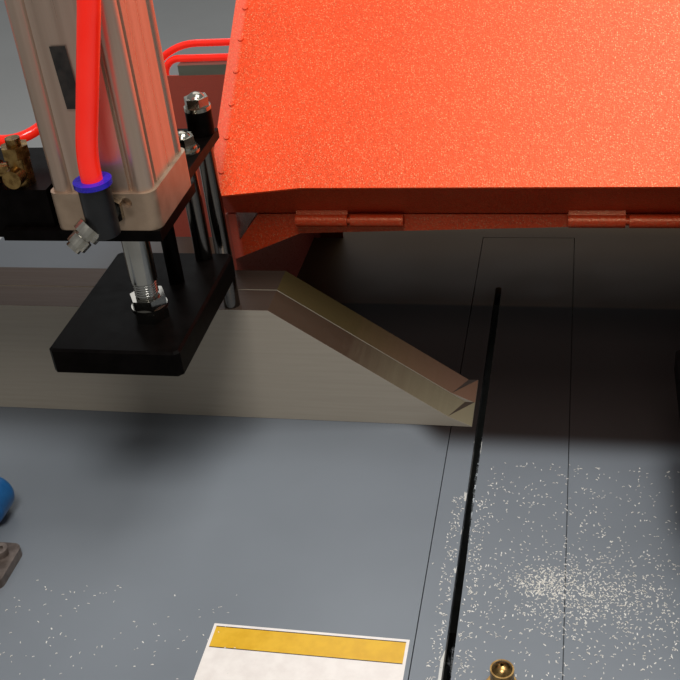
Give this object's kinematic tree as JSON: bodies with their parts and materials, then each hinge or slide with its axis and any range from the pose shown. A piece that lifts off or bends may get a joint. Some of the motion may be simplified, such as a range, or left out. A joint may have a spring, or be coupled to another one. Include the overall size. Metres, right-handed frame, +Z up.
{
  "type": "aluminum profile cutting machine",
  "caption": "Upstroke saw for aluminium profiles: cabinet with grooved table, sloping fences, hinged red hood and pneumatic clamps over the blade slot.",
  "frame": {"origin": "centre of the anchor hole rectangle, on the floor under the levelling feet", "axes": "+X along the fence to the right, +Y from the operator to the back, +Z up"},
  "size_m": [1.26, 0.845, 1.577],
  "materials": {
    "frame_paint": "satin powder paint",
    "panel_paint": "satin powder paint",
    "hood_paint": "gloss enamel paint",
    "table_steel": "ground and worn",
    "fence_aluminium": "worn, dull",
    "rail_aluminium": "plain extruded",
    "cap_aluminium": "anodised",
    "black_steel": "blackened",
    "bright_steel": "hard chromed",
    "zinc_steel": "zinc plated",
    "saw_steel": "ground",
    "grey_iron": "as cast, painted",
    "brass": "bright",
    "black_plastic": "moulded",
    "blue_plastic": "moulded",
    "red_plastic": "moulded",
    "green_plastic": "moulded",
    "red_tube": "extruded, translucent look",
    "black_rubber": "moulded",
    "blue_rubber": "moulded"
  },
  "bodies": {
    "machine": {"base_frame": "frame_paint", "levelling_feet": "zinc_steel", "side_panels": "panel_paint", "rear_panel": "panel_paint", "dust_spigot": "zinc_steel", "front_panels": "panel_paint", "base_pan": "zinc_steel", "table_plate": "table_steel", "table_insert": "table_steel", "fence_left": "fence_aluminium", "fence_right": "fence_aluminium", "hood_beam": "hood_paint", "hood_box_walls": "hood_paint", "hinge_fixed": "hood_paint", "clamp_brackets": "black_steel", "clamp_posts": "zinc_steel", "acorn_nuts": "zinc_steel", "cylinder_caps": "cap_aluminium", "cylinder_barrels": "cap_aluminium", "air_elbows": "black_plastic", "release_rings": "blue_plastic", "needle_knobs": "zinc_steel", "valve_blocks": "cap_aluminium", "tube_fittings": "black_plastic", "brass_fittings": "brass", "air_tubes_large": "red_tube", "air_tubes_small": "red_tube", "rear_rail": "rail_aluminium", "front_clamp_bracket": "zinc_steel", "front_clamp_cylinder": "cap_aluminium", "door_hinge_fixed": "zinc_steel", "control_box": "frame_paint", "button_bezels": "bright_steel", "guide_columns": "bright_steel", "lift_cylinder": "cap_aluminium"},
    "hood": {"hood_top": "hood_paint", "hood_lip": "hood_paint", "hood_walls": "hood_paint", "hinge_moving": "hood_paint"},
    "left_clamp": {"clamp_rod_left": "bright_steel", "clamp_foot_left": "black_steel"},
    "right_clamp": {"clamp_rod_right": "bright_steel", "clamp_foot_right": "black_steel"},
    "front_clamp": {"front_rod": "bright_steel", "front_pad": "blue_rubber"},
    "saw_head": {"carriage": "grey_iron", "lift_rod": "bright_steel", "motor": "grey_iron", "drive_belt": "black_rubber"},
    "blade_arbor": {"saw_blade": "saw_steel", "saw_spindle": "saw_steel"},
    "motor_shaft": {"motor_rotor": "saw_steel"},
    "door": {"door_panel": "panel_paint", "door_hinge_moving": "zinc_steel", "door_handle": "bright_steel"},
    "drawer": {"chip_drawer": "panel_paint", "drawer_handle": "bright_steel"},
    "start": {"start_button": "green_plastic"},
    "stop": {"stop_button": "red_plastic"},
    "emergency": {"emergency_button": "red_plastic"}
  },
  "joints": [
    {"name": "hood_tilt", "type": "hinge", "parent": "machine", "child": "hood", "pos_m": [0, 0.064, 1.0215], "axis": [1, 0, 0], "range_deg": [0, 27]},
    {"name": "left_clamp_slide", "type": "slide", "parent": "machine", "child": "left_clamp", "axis": [0, 0, -1], "range_m": [0, 0.16]},
    {"name": "right_clamp_slide", "type": "slide", "parent": "machine", "child": "right_clamp", "axis": [0, 0, -1], "range_m": [-0.0805, 0.079]},
    {"name": "front_clamp_slide", "type": "slide", "parent": "machine", "child": "front_clamp", "axis": [0, 1, 0], "range_m": [0, 0.1]},
    {"name": "saw_lift", "type": "slide", "parent": "machine", "child": "saw_head", "axis": [0, 0, 1], "range_m": [0, 0.155]},
    {"name": "blade_spin", "type": "hinge", "parent": "saw_head", "child": "blade_arbor", "pos_m": [0, -0.042, 0.58], "axis": [1, 0, 0], "continuous": true},
    {"name": "motor_spin", "type": "hinge", "parent": "saw_head", "child": "motor_shaft", "pos_m": [0.18, -0.042, 0.38], "axis": [1, 0, 0], "continuous": true},
    {"name": "door_swing", "type": "hinge", "parent": "machine", "child": "door", "pos_m": [-0.547, -0.367, 0.48], "axis": [0, 0, -1], "range_deg": [0, 110]},
    {"name": "drawer_slide", "type": "slide", "parent": "machine", "child": "drawer", "axis": [0, -1, 0], "range_m": [0, 0.35]},
    {"name": "start_press", "type": "slide", "parent": "machine", "child": "start", "axis": [0, 1, 0], "range_m": [0, 0.004], "stiffness_N_per_m": 300},
    {"name": "stop_press", "type": "slide", "parent": "machine", "child": "stop", "axis": [0, 1, 0], "range_m": [0, 0.004], "stiffness_N_per_m": 300},
    {"name": "emergency_press", "type": "slide", "parent": "machine", "child": "emergency", "axis": [0, 1, 0], "range_m": [0, 0.004], "stiffness_N_per_m": 600}
  ],
  "couplings": [
    {"joint": "motor_spin", "follows": "blade_spin", "ratio": 0.8889}
  ]
}
